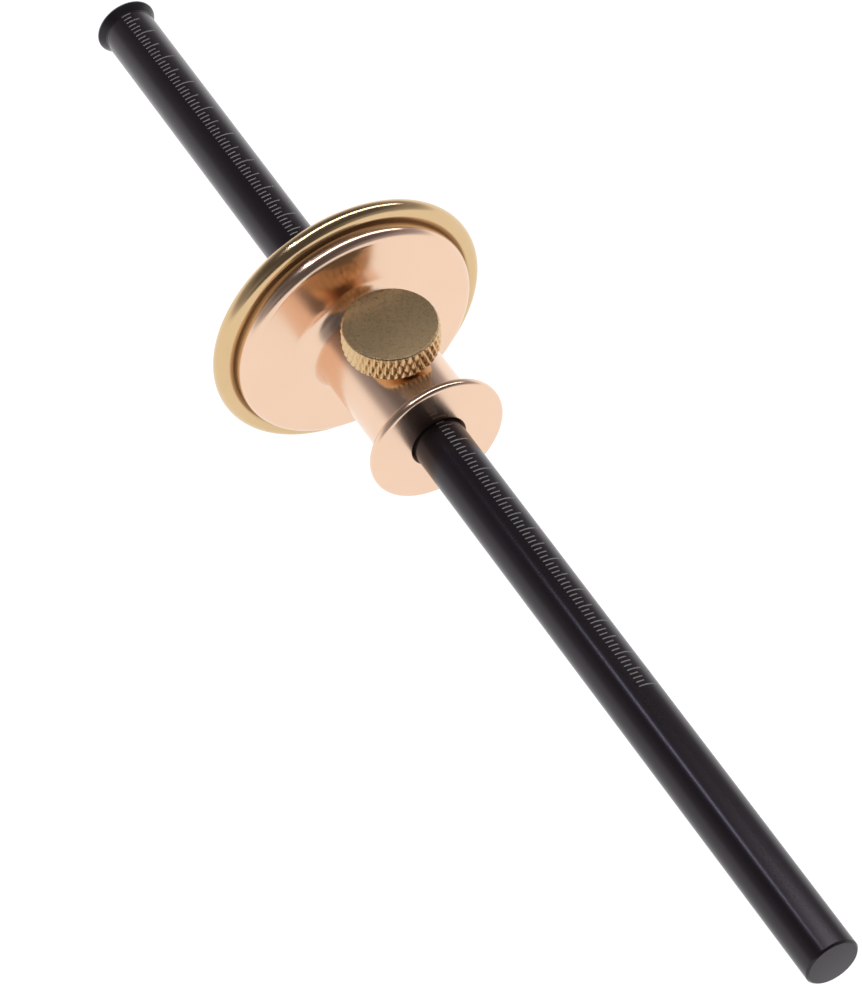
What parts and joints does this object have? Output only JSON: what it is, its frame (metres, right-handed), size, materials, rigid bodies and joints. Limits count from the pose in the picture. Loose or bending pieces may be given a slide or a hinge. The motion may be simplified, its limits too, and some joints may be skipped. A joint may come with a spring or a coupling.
{
  "type": "marking gauge",
  "caption": "Wheel marking gauge: fence head with knurled thumbscrew sliding on a round scaled rod that carries a small cutting wheel.",
  "frame": {"origin": "on the rod's axis, in the plane of the fence's working face", "axes": "+X along the rod from the fence's working face to the cutting wheel, +Z along the thumbscrew, away from the rod, +Y to the left of +X"},
  "size_m": [0.2015, 0.043, 0.043],
  "materials": {
    "black_rod": "black oxide, satin",
    "black_wheel": "hardened steel, black oxide",
    "dark_screw": "black oxide",
    "gold_aluminium": "gold anodised, satin",
    "brass": "turned, lightly polished",
    "knurled_brass": "diamond knurl, turned top",
    "pad_brass": "turned",
    "ring_rubber": "matte",
    "steel_screw": "zinc plated"
  },
  "bodies": {
    "head": {"hub": "gold_aluminium", "fence_plate": "brass", "fence_screw_1": "steel_screw", "fence_screw_2": "steel_screw", "fence_screw_3": "steel_screw"},
    "ring": {"o_ring": "ring_rubber"},
    "rod": {"rod": "black_rod", "cutter_screw": "dark_screw"},
    "cutter": {"cutter_wheel": "black_wheel"},
    "pad": {"brake_pad": "pad_brass"},
    "thumbscrew": {"thumbscrew": "knurled_brass"}
  },
  "joints": [
    {"name": "rod_turn", "type": "hinge", "parent": "head", "child": "ring", "pos_m": [0, 0, 0], "axis": [1, 0, 0], "continuous": true},
    {"name": "rod_slide", "type": "slide", "parent": "ring", "child": "rod", "axis": [1, 0, 0], "range_m": [-0.0688, 0.1]},
    {"name": "cutter_index", "type": "hinge", "parent": "rod", "child": "cutter", "pos_m": [0.068, 0, 0], "axis": [1, 0, 0], "continuous": true},
    {"name": "pad_lift", "type": "slide", "parent": "head", "child": "pad", "axis": [0, 0, 1], "range_m": [0, 0.0024]},
    {"name": "thumbscrew_turn", "type": "hinge", "parent": "pad", "child": "thumbscrew", "pos_m": [-0.0156, 0, 0], "axis": [0, 0, 1], "range_deg": [0, 1080]}
  ],
  "couplings": [
    {"joint": "thumbscrew_turn", "follows": "pad_lift", "rad_per_m": 7854}
  ]
}
